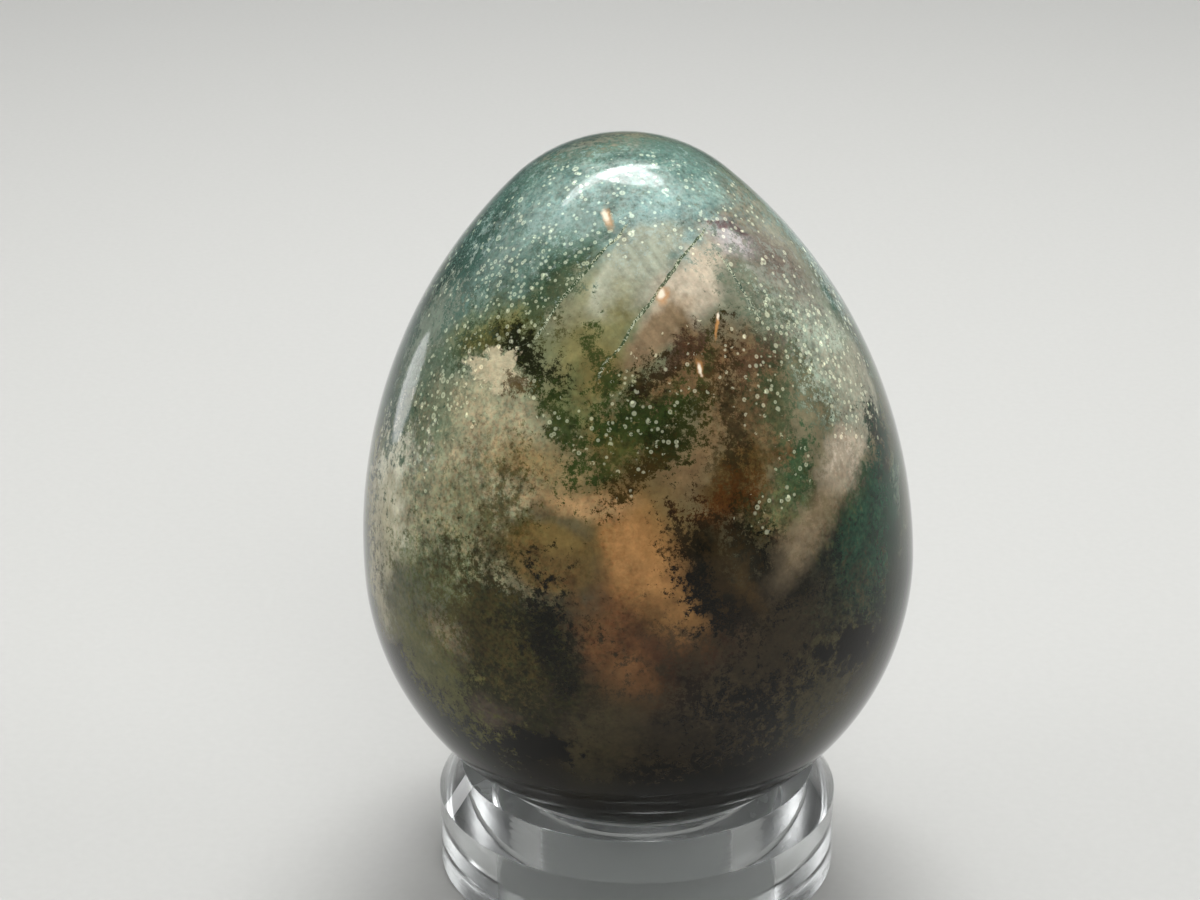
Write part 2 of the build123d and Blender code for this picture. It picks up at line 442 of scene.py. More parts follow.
# Moss-like growths of other minerals over the clouds, lowest first
MOSSES = (
    # Back and sides
    Patch("back_rim", -12.5, 19.0, 9.0, 2.0, 55, Tint.RIM_MOSS, Edge.FLECKED, 0.7, Side.BACK),
    Patch("back_band", 0.0, 21.5, 9.0, 1.8, -35, Tint.BAND_MOSS, Edge.FLECKED, 0.7, Side.BACK),
    Patch("back_vine", -3.0, 9.0, 6.0, 1.2, 50, Tint.VINE_MOSS, Edge.FLECKED, 0.9, Side.BACK),
    Patch("back_field", 3.5, 8.0, 4.4, 2.4, -30, Tint.MOSS, Edge.FLECKED, 0.9, Side.BACK),
    Patch("back_red", -8.5, 12.0, 4.0, 1.3, 40, Tint.RED_BROWN, Edge.FLECKED, 0.8, Side.BACK),
    Patch("back_rust", -6.5, -1.5, 3.0, 1.2, 10, Tint.RUST, Edge.FLECKED, 0.7, Side.BACK),
    Patch("back_right_moss", 10.0, 0.0, 6.0, 2.6, 60, Tint.KHAKI_MOSS, Edge.FLECKED, 0.7, Side.BACK),
    Patch("back_low_right", 8.0, -8.5, 7.0, 3.2, 15, Tint.LOW_BLACK, Edge.FLECKED, 0.8, Side.BACK),
    Patch("back_low_left", -8.0, -7.0, 6.5, 3.2, -20, Tint.LOW_BLACK, Edge.FLECKED, 0.8, Side.BACK),
    Patch("back_low_flecks", 1.0, -11.0, 10.0, 3.0, -4, Tint.DRAB_BROWN, Edge.FLECKED, 0.7, Side.BACK),
    Patch("back_mint", 2.0, 25.5, 9.0, 2.4, -6, Tint.PALE_CROWN, Edge.FLECKED, 0.45, Side.BACK),
    Patch("back_crown", -2.0, 29.5, 10.0, 2.0, 0, Tint.BAND_MOSS, Edge.FLECKED, 0.6, Side.BACK),
    Patch("right_side_moss", 1.0, 11.0, 6.0, 2.6, 60, Tint.FLANK_MOSS, Edge.FLECKED, 0.8, Side.RIGHT),
    Patch("right_side_low", 2.0, 1.5, 6.0, 3.0, -20, Tint.RIM_MOSS, Edge.FLECKED, 0.8, Side.RIGHT),
    Patch("right_side_mint", 0.5, 19.0, 6.0, 2.2, 70, Tint.PALE_CROWN, Edge.FLECKED, 0.45, Side.RIGHT),
    Patch("right_side_olive", 0.5, -2.5, 7.0, 2.8, 8, Tint.BROWN_MOSS, Edge.FLECKED, 0.7, Side.RIGHT),
    Patch("right_side_black", -1.0, -7.0, 9.0, 3.2, 4, Tint.LOW_BLACK, Edge.FLECKED, 0.8, Side.RIGHT),
    Patch("left_side_moss", -1.0, 13.0, 6.0, 2.4, 60, Tint.FLANK_MOSS, Edge.FLECKED, 0.8, Side.LEFT),
    Patch("left_side_mint", -0.5, 20.0, 6.0, 2.0, 74, Tint.PALE_CROWN, Edge.FLECKED, 0.4, Side.LEFT),
    Patch("left_side_flecks", 1.5, -4.0, 7.0, 2.6, -12, Tint.KHAKI_MOSS, Edge.FLECKED, 0.6, Side.LEFT),
    Patch("left_side_brown", -6.0, 2.5, 4.4, 2.2, 70, Tint.BROWN_MOSS, Edge.FLECKED, 0.8, Side.LEFT),
    Patch("left_side_low", -2.0, -6.5, 8.0, 3.0, -8, Tint.LOW_MOSS, Edge.FLECKED, 0.9, Side.LEFT),
    # Crown and flanks
    Patch("rim_moss", -16.6, 19.8, 13.0, 1.7, 58, Tint.RIM_MOSS, Edge.FLECKED, 0.9),
    Patch("crown_rim", -1.5, 32.2, 10.0, 1.3, 0, Tint.RIM_GREEN, Edge.HAZY, 0.85),
    Patch("crown_moss", -3.0, 30.2, 11.0, 2.0, 6, Tint.RIM_GREEN, Edge.FLECKED, 0.55),
    Patch("band_moss", -8.8, 21.6, 7.6, 1.6, 42, Tint.BAND_MOSS, Edge.FLECKED, 0.5),
    Patch("fern_moss", -6.9, 20.3, 5.6, 1.0, 50, Tint.FERN_MOSS, Edge.FLECKED, 0.65),
    Patch("shelf_moss", -11.4, 16.6, 3.8, 1.5, 10, Tint.SHELF_MOSS, Edge.FLECKED, 0.8),
    Patch("black_olive", -8.8, 15.0, 2.8, 1.3, -50, Tint.BLACK_OLIVE, Edge.FLECKED),
    Patch("left_flank_moss", -16.2, 11.5, 6.0, 1.6, 72, Tint.FLANK_MOSS, Edge.FLECKED, 0.45),
    Patch("crown_mint", -2.0, 28.0, 10.0, 3.0, 6, Tint.PALE_CROWN, Edge.FLECKED, 0.4),
    Patch("left_mint", -16.4, 17.6, 4.0, 1.0, 62, Tint.MINT, Edge.FLECKED, 0.6),
    Patch("right_lines", 12.8, 16.5, 7.5, 2.2, -58, Tint.FLANK_MOSS, Edge.FLECKED, 0.65),
    Patch("right_mint", 14.4, 16.4, 7.0, 1.8, -60, Tint.FLANK_MINT, Edge.FLECKED, 0.65),
    Patch("mint_eye_glow", 17.0, 13.2, 2.8, 1.4, -70, Tint.PALE_MINT, Edge.CLOUDY, 0.85),
    Patch("right_mauve", 11.5, 22.0, 4.5, 1.2, -48, Tint.DULL_MAROON, Edge.FLECKED, 0.45),
    # Middle
    Patch("vine", -2.6, 13.2, 3.6, 0.9, -78, Tint.VINE_MOSS, Edge.FLECKED, 0.9),
    Patch("left_arm", -6.0, 9.4, 3.6, 1.0, -62, Tint.VINE_MOSS, Edge.FLECKED, 0.9),
    Patch("moss_field", 0.4, 9.6, 5.2, 2.8, 36, Tint.VINE_MOSS, Edge.FLECKED),
    Patch("moss_core", 2.2, 8.2, 4.2, 1.1, 51, Tint.BLACK_MOSS, Edge.FLECKED, 0.9),
    Patch("moss_apex", -0.4, 5.4, 2.6, 1.1, 40, Tint.APEX_MOSS, Edge.FLECKED, 0.9),
    Patch("window", -1.8, 7.4, 2.0, 1.0, 15, Tint.BROWN_OLIVE, Edge.HAZY, 0.5),
    Patch("brown_window", 2.0, 13.0, 1.6, 1.0, 40, Tint.UMBER, Edge.HAZY, 0.7),
    Patch("maroon_moss", 3.6, 15.4, 3.8, 0.8, 40, Tint.RED_BROWN, Edge.FLECKED, 0.75),
    Patch("brown_lump", 0.9, 13.0, 1.8, 1.2, 40, Tint.LUMP_BROWN, Edge.FLECKED, 0.9),
    Patch("right_arm", 5.4, 13.9, 3.2, 0.6, 79, Tint.MOSS, Edge.FLECKED, 0.85),
    Patch("red_flecks", 9.0, 15.2, 2.6, 1.6, 30, Tint.RUST_BROWN, Edge.FLECKED, 0.7),
    Patch("taupe_flecks", 8.4, 9.6, 5.0, 2.6, -80, Tint.APEX_MOSS, Edge.FLECKED, 0.4),
    Patch("taupe_column", 7.6, 10.4, 5.6, 0.7, -88, Tint.LUMP_BROWN, Edge.FLECKED, 0.7),
    Patch("taupe_green", 11.0, 11.0, 4.0, 1.2, -78, Tint.CLUSTER_GREEN, Edge.FLECKED, 0.6),
    Patch("brown_flecks", 7.6, 4.4, 3.4, 2.0, -60, Tint.LUMP_BROWN, Edge.FLECKED, 0.5),
    Patch("right_cluster", 12.3, 6.2, 2.4, 1.3, 58, Tint.CLUSTER_GREEN, Edge.FLECKED, 0.85),
    Patch("rust_spots", 7.6, 4.0, 3.2, 1.2, 10, Tint.RUST, Edge.FLECKED, 0.7),
    Patch("tan_cluster", 10.6, 2.0, 2.6, 1.5, 70, Tint.CLUSTER_TAN, Edge.FLECKED, 0.6),
    Patch("green_cluster", 11.8, 4.0, 3.0, 1.6, 60, Tint.CLUSTER_GREEN, Edge.FLECKED, 0.7),
    Patch("dark_cluster", 9.4, 1.4, 2.6, 1.0, -70, Tint.BLACK_MOSS, Edge.FLECKED, 0.6),
    Patch("dark_spot", 18.7, 9.4, 1.5, 0.8, -60, Tint.OLIVE_BLACK, Edge.FLECKED, 0.9),
    Patch("edge_moss", 19.2, 3.2, 5.0, 1.6, -84, Tint.RIM_MOSS, Edge.FLECKED, 0.9),
    # Lower half
    Patch("pine_moss", 18.0, -1.5, 6.0, 2.8, 80, Tint.PINE_MOSS, Edge.FLECKED, 0.6),
    Patch("pine_light", 18.2, 0.5, 6.0, 1.9, 80, Tint.SEA_GREEN, Edge.FLECKED, 0.8),
    Patch("pine_dark", 18.0, -0.5, 6.5, 2.0, 78, Tint.PINE_MOSS, Edge.FLECKED, 0.6),
    Patch("left_olive", -13.0, 2.0, 5.5, 2.0, 75, Tint.KHAKI_MOSS, Edge.FLECKED, 0.45),
    Patch("left_green", -14.5, -2.5, 5.0, 2.5, -30, Tint.GREEN_MOSS, Edge.FLECKED, 0.6),
    Patch("left_brown", -11.0, 0.2, 5.0, 1.7, 80, Tint.BROWN_MOSS, Edge.FLECKED, 0.6),
    Patch("low_moss", -9.5, -7.6, 6.0, 3.6, -55, Tint.LOW_BLACK, Edge.FLECKED, 0.75),
    Patch("low_light", -12.0, -6.5, 6.0, 2.4, -45, Tint.BROWN_MOSS, Edge.FLECKED, 0.6),
    Patch("moss_wall", -6.6, -8.0, 4.2, 1.1, -78, Tint.LOW_BLACK, Edge.FLECKED, 0.9),
    Patch("right_low_flecks", 11.5, -7.0, 8.0, 3.6, 20, Tint.DRAB_BROWN, Edge.FLECKED, 0.7),
    Patch("right_rim_flecks", 15.5, -11.0, 5.0, 2.0, 50, Tint.LOW_LIGHT, Edge.FLECKED, 0.6),
    Patch("bottom_flecks", 2.0, -15.0, 7.0, 2.6, 0, Tint.DRAB_BROWN, Edge.FLECKED, 0.5),
    Patch("left_low_edge", -16.6, -9.0, 6.0, 1.6, -56, Tint.KHAKI_MOSS, Edge.FLECKED, 0.7),
    Patch("black_low", -8.6, -15.6, 3.2, 0.9, -6, Tint.NEAR_BLACK, Edge.MOSSY),
    Patch("rust_margin", 4.9, 2.3, 1.8, 0.9, -15, Tint.RUST, Edge.FLECKED, 0.8),
    Patch("black_ground", 5.8, -1.8, 3.6, 2.1, -66, Tint.LOW_BLACK, Edge.HAZY),
    Patch("black_mid", 8.4, -0.6, 2.8, 1.8, -60, Tint.LOW_BLACK, Edge.FLECKED, 0.85),
    Patch("black_brown", 5.0, -1.0, 3.8, 1.9, -72, Tint.LOW_BLACK, Edge.FLECKED, 0.85),
    Patch("black_brown_low", 6.6, -4.2, 2.8, 1.7, -40, Tint.NEAR_BLACK, Edge.FLECKED),
    Patch("black_right", 11.4, -1.4, 2.4, 1.4, -35, Tint.LOW_BLACK, Edge.FLECKED),
    Patch("black_flank", 16.8, -8.0, 2.4, 1.6, 20, Tint.NEAR_BLACK, Edge.MOSSY),
    Patch("beige_band", 16.1, 6.6, 3.0, 1.2, 64, Tint.BAND_BEIGE, Edge.CLOUDY),
    Patch("beige_streak", 13.8, 2.0, 4.2, 1.3, 60, Tint.STREAK_BEIGE, Edge.HAZY),
    Patch("black_flecks", 7.0, -1.2, 3.2, 1.6, -68, Tint.BROWN, Edge.FLECKED, 0.2),
    Patch("band_flecks", 15.6, 4.6, 4.0, 1.6, 62, Tint.BROWN_MOSS, Edge.FLECKED, 0.3),
    Patch("brown_glow", 8.8, -3.0, 1.8, 0.6, -60, Tint.BROWN, Edge.HAZY, 0.25),
)

# A soft cream mineral that has crumbled at the surface
PIT = Patch("cream_pit", -11.4, 14.1, 2.2, 1.4, -20, Tint.CREAM, Edge.RAGGED)
PIT_CRUMBS = Patch("cream_crumbs", -9.7, 12.9, 0.8, 0.6, 0, Tint.CRUMB, Edge.FLECKED, 0.9)

# Thin healed cracks
VEINS = (
    Patch("left_vein", -4.8, 21.1, 5.3, 0.12, 51, Tint.FERN_MOSS, Edge.CRISP, 0.85),
    Patch("right_vein", 1.6, 20.3, 7.2, 0.12, 54, Tint.FERN_MOSS, Edge.CRISP, 0.85),
    Patch("beige_vein", 7.8, 21.0, 3.4, 0.08, -58, Tint.DEEP_TEAL, Edge.CRISP, 0.7),
    Patch("back_vein", 5.6, 15.4, 6.4, 0.10, -50, Tint.DEEP_TEAL, Edge.CRISP, 0.8, Side.BACK),
    Patch("back_short_vein", 0.8, 16.4, 4.6, 0.10, -56, Tint.DEEP_TEAL, Edge.CRISP, 0.8, Side.BACK),
)

# Painted glints: warm spots of light reflected by small crystal faces, painted into the colour
PAINTED_GLINTS = (
    Patch("crown_painted_glint_rim", -2.4, 26.0, 0.75, 0.32, -68, Tint.PAINTED_SPARK_RIM, Edge.PAINTED_SPARK_EDGE, 0.7),
    Patch("crown_painted_glint", -2.6, 26.2, 0.55, 0.20, -62, Tint.PAINTED_SPARK_CORE, Edge.PAINTED_SPARK_EDGE),
    Patch("wedge_painted_glint_rim", 1.9, 19.9, 0.60, 0.45, 60, Tint.PAINTED_SPARK_RIM, Edge.PAINTED_SPARK_EDGE, 0.6),
    Patch("wedge_painted_glint", 1.8, 20.0, 0.35, 0.26, 60, Tint.PAINTED_SPARK_CORE, Edge.PAINTED_SPARK_EDGE),
    Patch("brown_painted_glint_rim", 4.8, 14.2, 0.60, 0.24, -70, Tint.PAINTED_SPARK_RIM, Edge.PAINTED_SPARK_EDGE, 0.6),
    Patch("brown_painted_glint", 4.8, 14.1, 0.42, 0.14, -70, Tint.PAINTED_SPARK_CORE, Edge.PAINTED_SPARK_EDGE),
    Patch("fleck_painted_glint_rim", 6.1, 17.5, 0.8, 0.11, 84, Tint.PAINTED_SPARK_RIM, Edge.PAINTED_SPARK_EDGE, 0.7),
    Patch("fleck_painted_glint", 6.2, 18.2, 0.22, 0.10, 84, Tint.PAINTED_SPARK_CORE, Edge.PAINTED_SPARK_EDGE, 0.9),
)

# Where cream globes are strewn
DOT_ZONES = (
    Zone("band_dots", -8.5, 22.0, 8.5, 3.0, 42),
    Zone("shelf_dots", -12.0, 17.4, 3.6, 2.2, 10, 0.95),
    Zone("left_flank_dots", -15.0, 13.0, 6.5, 2.2, 70),
    Zone("right_flank_dots", 14.0, 16.6, 7.0, 2.6, -58),
    Zone("crown_dots", -2.0, 27.5, 12.0, 3.6, 8, 0.7),
    Zone("moss_dots", 0.5, 10.6, 5.4, 3.8, 35, 0.85),
    Zone("arm_dots", -6.5, 10.0, 4.0, 1.3, -60, 0.95),
    Zone("taupe_dots", 8.6, 14.0, 4.0, 2.6, -70, 0.3),
    Zone("right_chain_dots", 10.6, 11.6, 3.4, 0.9, -80),
    Zone("eye_chain_dots", 15.4, 13.2, 3.2, 0.6, -62),
    Zone("cluster_dots", 11.0, 5.0, 3.2, 1.8, 60, 0.5),
    Zone("back_crown_dots", -1.0, 27.0, 10.0, 3.2, -6, 0.7, Side.BACK),
    Zone("back_band_dots", 0.0, 21.5, 9.0, 3.0, -35, 0.9, Side.BACK),
    Zone("back_flank_dots", -12.0, 14.5, 6.0, 2.4, 60, 0.9, Side.BACK),
    Zone("back_moss_dots", 1.5, 8.5, 6.0, 3.6, 0, 0.7, Side.BACK),
    Zone("right_side_dots", 0.0, 15.0, 6.5, 3.0, 75, 0.9, Side.RIGHT),
    Zone("left_side_dots", 0.0, 16.5, 6.5, 3.0, 72, 0.9, Side.LEFT),
)

# Where the stone is fibrous
SILK = Zone("silky_wedges", 1.0, 20.0, 7.0, 8.0, -54, edge=Edge.HAZY)

# Where the stone is granular
GRANULAR_ZONES = (
    Zone("left_grains", -13.0, 4.0, 9.5, 7.0, 60, 0.7),
    Zone("moss_grains", 0.0, 10.4, 6.5, 3.6, 30, 0.6),
    Zone("band_grains", -10.5, 20.5, 9.0, 2.6, 45, 0.4),
    Zone("taupe_grains", 9.0, 9.0, 6.0, 3.4, -75, 0.5),
    Zone("right_flank_grains", 13.6, 16.0, 7.5, 3.0, -60, 0.4),
    Zone("crown_grains", -2.0, 29.5, 12.0, 3.0, 4, 0.5),
    Zone("right_grains", 11.3, 4.0, 3.5, 2.2, 60, 0.8),
    Zone("low_grains", -10.0, -7.0, 7.0, 6.0, -40, 0.8),
    Zone("flank_grains", 18.0, 0.0, 6.0, 3.0, 80, 0.8),
    Zone("right_side_grains", 1.0, 0.0, 8.0, 5.0, 20, 0.6, Side.RIGHT),
    Zone("back_moss_grains", 2.0, 8.0, 7.0, 4.0, -20, 0.6, Side.BACK),
    Zone("back_grains", 12.0, 1.0, 7.0, 5.0, 30, 0.7, Side.BACK),
    Zone("left_side_grains", -3.0, 4.0, 9.0, 7.0, 60, 0.7, Side.LEFT),
)


@dataclass(frozen=True)
class Placing:
    """A spot as an ellipsoid in the egg's own millimetres.

    Attributes:
        rows: Directions of its length, width and depth, each divided by its half-size.
        centre: Its centre, measured along these rows.
    """

    rows: tuple[Vector, Vector, Vector]
    centre: Vector


class Glow(Enum):
    """What a light panel does: it only lights surfaces, only shows in polished ones, or both."""

    FILLS = "fills"
    SHINES = "shines"
    BOTH = "both"


@dataclass(frozen=True)
class Panel:
    """One soft, elliptical light panel that faces the egg.

    Attributes:
        name: Name of the lamp.
        place: Where it hangs, in metres.
        size: Its width and depth in metres.
        power: Its power in watts.
        glow: What its light does.
    """

    name: str
    place: tuple[float, float, float]
    size: tuple[float, float]
    power: float
    glow: Glow


PANELS = (
    Panel("overhead_panel", (0, 0.11, 0.40), (0.42, 0.24), 0.5, Glow.BOTH),
    Panel("overhead_core", (0.02, 0.12, 0.40), (0.22, 0.11), 0.95, Glow.BOTH),
    Panel("overhead_strip", (-0.07, 0.135, 0.40), (0.42, 0.05), 0.75, Glow.SHINES),
    Panel("left_strip", (-0.20, 0.145, 0.03), (0.06, 0.06), 0.03, Glow.SHINES),
    Panel("front_fill", (0.36, -1.65, 1.30), (1.50, 1.20), 18.0, Glow.FILLS),
    Panel("left_fill", (-1.80, -0.15, 1.00), (1.20, 1.20), 9.0, Glow.FILLS),
    Panel("right_fill", (1.80, 0.15, 1.00), (1.20, 1.20), 9.0, Glow.FILLS),
    Panel("back_fill", (0.0, 1.80, 1.15), (1.20, 1.20), 9.0, Glow.FILLS),
)


@dataclass(frozen=True)
class PaleMattBoard:
    """Pale uncoated board, pressed flat: an even, matt ground that shows a soft shadow.

    Attributes:
        dark: Colour between its fibres.
        light: Colour of its fibres.
        fibre: Width of a fibre in millimetres, a few times the real one so that it shows.
        relief: Height of a fibre in millimetres.
        softness: Strength of the bump.
        roughness: How matt it is.
    """

    dark: str = "#BBBBB8"
    light: str = "#C1C1BE"
    fibre: float = 0.8
    relief: float = 0.02
    softness: float = 0.3
    roughness: float = 0.6

    def material(self) -> bpy.types.Material:
        """Build the floor's material.

        Returns:
            The finished material.
        """
        material, tree, shader = new_material("pale_matt_board")
        place = add_node(tree, "TexCoord", output="Object")
        fibres = add_node(
            tree, "TexNoise", {}, {"Vector": place, "Scale": 1 / (self.fibre * MM), "Detail": 3}
        )
        shade = add_node(
            tree, "Mix", BLEND, {0: fibres, UNDER: linear(self.dark), OVER: linear(self.light)}, BLENDED
        )
        grain = add_node(
            tree, "Bump", {}, {"Strength": self.softness, "Distance": self.relief * MM, "Height": fibres}
        )
        tree.links.new(shade, shader.inputs["Base Color"])
        tree.links.new(grain, shader.inputs["Normal"])
        shader.inputs["Roughness"].default_value = self.roughness
        return material


@dataclass
class Studio:
    """Camera, floor and soft light.

    Attributes:
        pitch: Angle in radians by which the camera looks down.
        distance: Millimetres from the camera to the blunt end's centre, along the line of sight.
        lens: Focal length in millimetres.
        aim_left: Millimetres by which the camera aims left of that centre.
        aim_up: Millimetres by which it aims above it.
        near_limit: Nearest distance in millimetres that the camera shows.
        floor_half: Half the floor's width in metres.
        floor_finish: The floor's board.
        sky_tint: Colour of the surroundings.
        sky_strength: Their brightness.
    """

    pitch: float = math.radians(22.43)
    distance: float = 215.0
    lens: float = 82.101
    aim_left: float = 3.0
    aim_up: float = 7.8
    near_limit: float = 5.0
    floor_half: float = 3.0
    floor_finish: PaleMattBoard = field(default_factory=PaleMattBoard)
    sky_tint: str = "#E6E8E8"
    sky_strength: float = 0.22

    def eye(self, side: Side) -> tuple[Vector, Vector, Vector]:
        """Find where the camera would stand on one side of the egg.

        Args:
            side: The side it looks from.

        Returns:
            Its place about the blunt end's centre in millimetres, its right and its up direction.
        """
        azimuth = math.radians(side.value)
        right = Vector((math.cos(azimuth), math.sin(azimuth), 0))
        away = Vector((math.sin(azimuth), -math.cos(azimuth), 0))
        back = away * math.cos(self.pitch) + UP * math.sin(self.pitch)
        upward = back.cross(right)
        place = upward * self.aim_up - right * self.aim_left + back * self.distance
        return place, right, upward

    def set_camera(self, centre: Vector) -> None:
        """Make the scene's camera.

        Args:
            centre: The blunt end's centre, in metres.
        """
        place, right, upward = self.eye(Side.FRONT)
        data = bpy.data.cameras.new("camera")
        data.lens = self.lens
        data.sensor_width = SENSOR_WIDTH
        data.clip_start = self.near_limit * MM
        camera = bpy.data.objects.new("camera", data)
        camera.location = centre + place * MM
        camera.rotation_euler = Matrix((right, upward, right.cross(upward))).transposed().to_euler()
        bpy.context.scene.collection.objects.link(camera)
        bpy.context.scene.camera = camera

    def lay_floor(self) -> None:
        """Lay a pale matt floor."""
        half = self.floor_half
        signs = ((-1, -1), (1, -1), (1, 1), (-1, 1))
        corners = [Vector((x * half, y * half, 0)) for x, y in signs]
        floor = new_mesh_object("floor", corners, [(0, 1, 2, 3)])
        floor.data.materials.append(self.floor_finish.material())

    def hang_panel(self, panel: Panel, target: Vector) -> None:
        """Hang one soft light panel.

        Args:
            panel: The panel.
            target: Where it points, in metres.
        """
        data = bpy.data.lights.new(panel.name, "AREA")
        data.shape = "ELLIPSE"
        data.size, data.size_y = panel.size
        data.energy = panel.power
        lamp = bpy.data.objects.new(panel.name, data)
        lamp.location = panel.place
        lamp.rotation_euler = (target - Vector(panel.place)).to_track_quat("-Z", "Y").to_euler()
        lamp.visible_camera = False
        lamp.visible_glossy = panel.glow is not Glow.FILLS
        lamp.visible_diffuse = panel.glow is not Glow.SHINES
        bpy.context.scene.collection.objects.link(lamp)

    def light(self, centre: Vector) -> None:
        """Set the surroundings and hang the panels.

        Args:
            centre: The blunt end's centre, in metres.
        """
        world = bpy.data.worlds.new("studio")
        world.use_nodes = True
        sky = world.node_tree.nodes["Background"]
        sky.inputs["Color"].default_value = linear(self.sky_tint)
        sky.inputs["Strength"].default_value = self.sky_strength
        bpy.context.scene.world = world
        for panel in PANELS:
            self.hang_panel(panel, centre)


@dataclass
class StoneNodes:
    """What the layers of the stone share.

    Attributes:
        tree: Node tree of the material.
        egg: The egg that the stone goes on.
        studio: The studio, whose eye places the patches.
        point: Place in the egg's own millimetres.
        drifted: That place bent by slow swirls, so that clouds and moss keep no plain outline.
        wavered: That place bent a little, so that veins wander.
        noises: A noise for each grain.
    """

    tree: bpy.types.NodeTree
    egg: "StoneEgg"
    studio: Studio
    point: bpy.types.NodeSocket
    drifted: bpy.types.NodeSocket
    wavered: bpy.types.NodeSocket
    noises: dict[Grain, bpy.types.NodeSocket]


@dataclass(frozen=True)
class PolishedMossAgate:
    """Moss agate, a cloudy chalcedony with green and brown mineral growths, ground and polished.

    Polishing gives the eye a glassy skin over colours that seem to lie at some depth.

    Attributes:
        ior: Index of refraction of chalcedony.
        mirroring: Specular level, below a fresh polish because the skin is a little worn.
        gloss: Mean roughness of the skin.
        pit_roughness: Roughness that the crumbled pit adds.
        relief: Height in millimetres of the grain that polishing leaves.
        pit_relief: How many times this height the pit adds.
        drift: Millimetres by which slow swirls bend the patches.
        drift_size: Size of these swirls in millimetres.
        waver: Millimetres by which small swirls bend the veins.
        waver_size: Size of these swirls in millimetres.
        cloud_size: Size in millimetres of the mineral clouds in the plain stone.
        moss_and_shade_below: Height in millimetres below which the plain stone turns dark, partly with dark
            moss and partly with painted shade on the lower half.
        clear: Height above which it keeps its own colours.
        ragged: Millimetres by which a noise lifts that border.
        crystal: Size in millimetres of the crystals in granular stone.
        speck: Colour of the dark specks between them.
        cool_grain: Factors on red, green and blue in the coolest grains.
        warm_grain: Factors on red, green and blue in the warmest grains.
        fibre: Length, width and depth in millimetres of the fibres in silky stone.
        globe: Colour of the globes that the polish cuts through.
        small_globe: Millimetres between the small globes, and their largest radius.
        large_globe: Millimetres between the large globes, and their largest radius.
        large_share: How many cells hold a large globe, against the small ones.
        bead: Colour of the beads on the veins.
        bead_gap: Millimetres between beads.
        bead_radius: Their radius in millimetres.
        bead_wander: Millimetres by which a noise shifts them along the vein.
    """

    ior: float = 1.54
    mirroring: float = 0.2
    gloss: float = 0.06
    pit_roughness: float = 0.5
    relief: float = 0.006
    pit_relief: float = 12.0
    drift: float = 3.2
    drift_size: float = 3.5
    waver: float = 0.7
    waver_size: float = 2.2
    cloud_size: float = 12.0
    moss_and_shade_below: float = 2.0
    clear: float = 16.0
    ragged: float = 16.0
    crystal: float = 1.3
    speck: str = "#3A381E"
    cool_grain: tuple[float, float, float] = (0.75, 1.06, 1.0)
    warm_grain: tuple[float, float, float] = (1.25, 0.94, 0.8)
    fibre: tuple[float, float, float] = (5.0, 0.5, 2.0)
    globe: str = "#D0D2B4"
    small_globe: tuple[float, float] = (0.45, 0.21)
    large_globe: tuple[float, float] = (0.8, 0.31)
    large_share: float = 0.6
    bead: str = "#CCD0B2"
    bead_gap: float = 0.75
    bead_radius: float = 0.16
    bead_wander: float = 7.0

    def shared(self, tree: bpy.types.NodeTree, egg: "StoneEgg", studio: Studio) -> StoneNodes:
        """Add the nodes that all layers use.

        Args:
            tree: Node tree of the stone.
            egg: The egg that it goes on.
            studio: The studio, whose eye places the patches.

        Returns:
            The shared nodes.
        """
        place = add_node(tree, "TexCoord", output="Object")
        point = add_node(tree, "VectorMath", {"operation": "SCALE"}, {0: place, "Scale": 1 / MM})
        noises = {
            grain: add_node(
                tree, "TexNoise", {},
                {
                    "Vector": point, "Scale": 1 / grain.size,
                    "Detail": grain.octaves, "Roughness": grain.roughness,
                },
            )
            for grain in Grain
        }
        bent = []
        for size, amount in ((self.drift_size, self.drift), (self.waver_size, self.waver)):
            swirl = add_node(
                tree, "TexNoise", {},
                {"Vector": point, "Scale": 1 / size, "Detail": 4, "Roughness": 0.55}, "Color",
            )
            centred = add_node(
                tree, "VectorMath", {"operation": "SUBTRACT"}, {0: swirl, 1: (0.5, 0.5, 0.5)}
            )
            bent.append(
                add_node(
                    tree, "VectorMath", {"operation": "MULTIPLY_ADD"},
                    {0: centred, 1: (amount, amount, amount), 2: point},
                )
            )
        return StoneNodes(tree, egg, studio, point, bent[0], bent[1], noises)

    def mask(self, stone: StoneNodes, spot: Patch | Zone) -> bpy.types.NodeSocket:
        """Add the nodes that tell how far a point lies in a spot.

        Args:
            stone: The shared nodes.
            spot: The patch or zone.

        Returns:
            A socket that runs from 0 outside to the spot's strength inside.
        """
        # Each node comes after those that feed it, so that Cycles works the spots out one by one
        tree, edge = stone.tree, spot.edge
        placing = stone.egg.placing(spot, stone.studio)
        where = stone.drifted if edge.drifts else stone.wavered
        along = [
            add_node(tree, "VectorMath", {"operation": "DOT_PRODUCT"}, {0: where, 1: row}, "Value")
            for row in placing.rows
        ]
        local = add_node(tree, "CombineXYZ", {}, dict(enumerate(along)))
        reach = add_node(
            tree, "VectorMath", {"operation": "DISTANCE"}, {0: local, 1: placing.centre}, "Value"
        )
        frayed = add_node(
            tree, "Math", {"operation": "MULTIPLY_ADD"},
            {0: stone.noises[edge.grain], 1: edge.fraying, 2: reach},
        )
        # A noise keeps about one half, so half the fraying leaves the border where it is on average
        border = 1 + 0.5 * edge.fraying
        return add_node(
            tree, "MapRange", {**EASED, "label": spot.name},
            {
                "Value": frayed, "From Min": border + edge.softness,
                "From Max": border - edge.softness, "To Max": spot.strength,
            },
        )

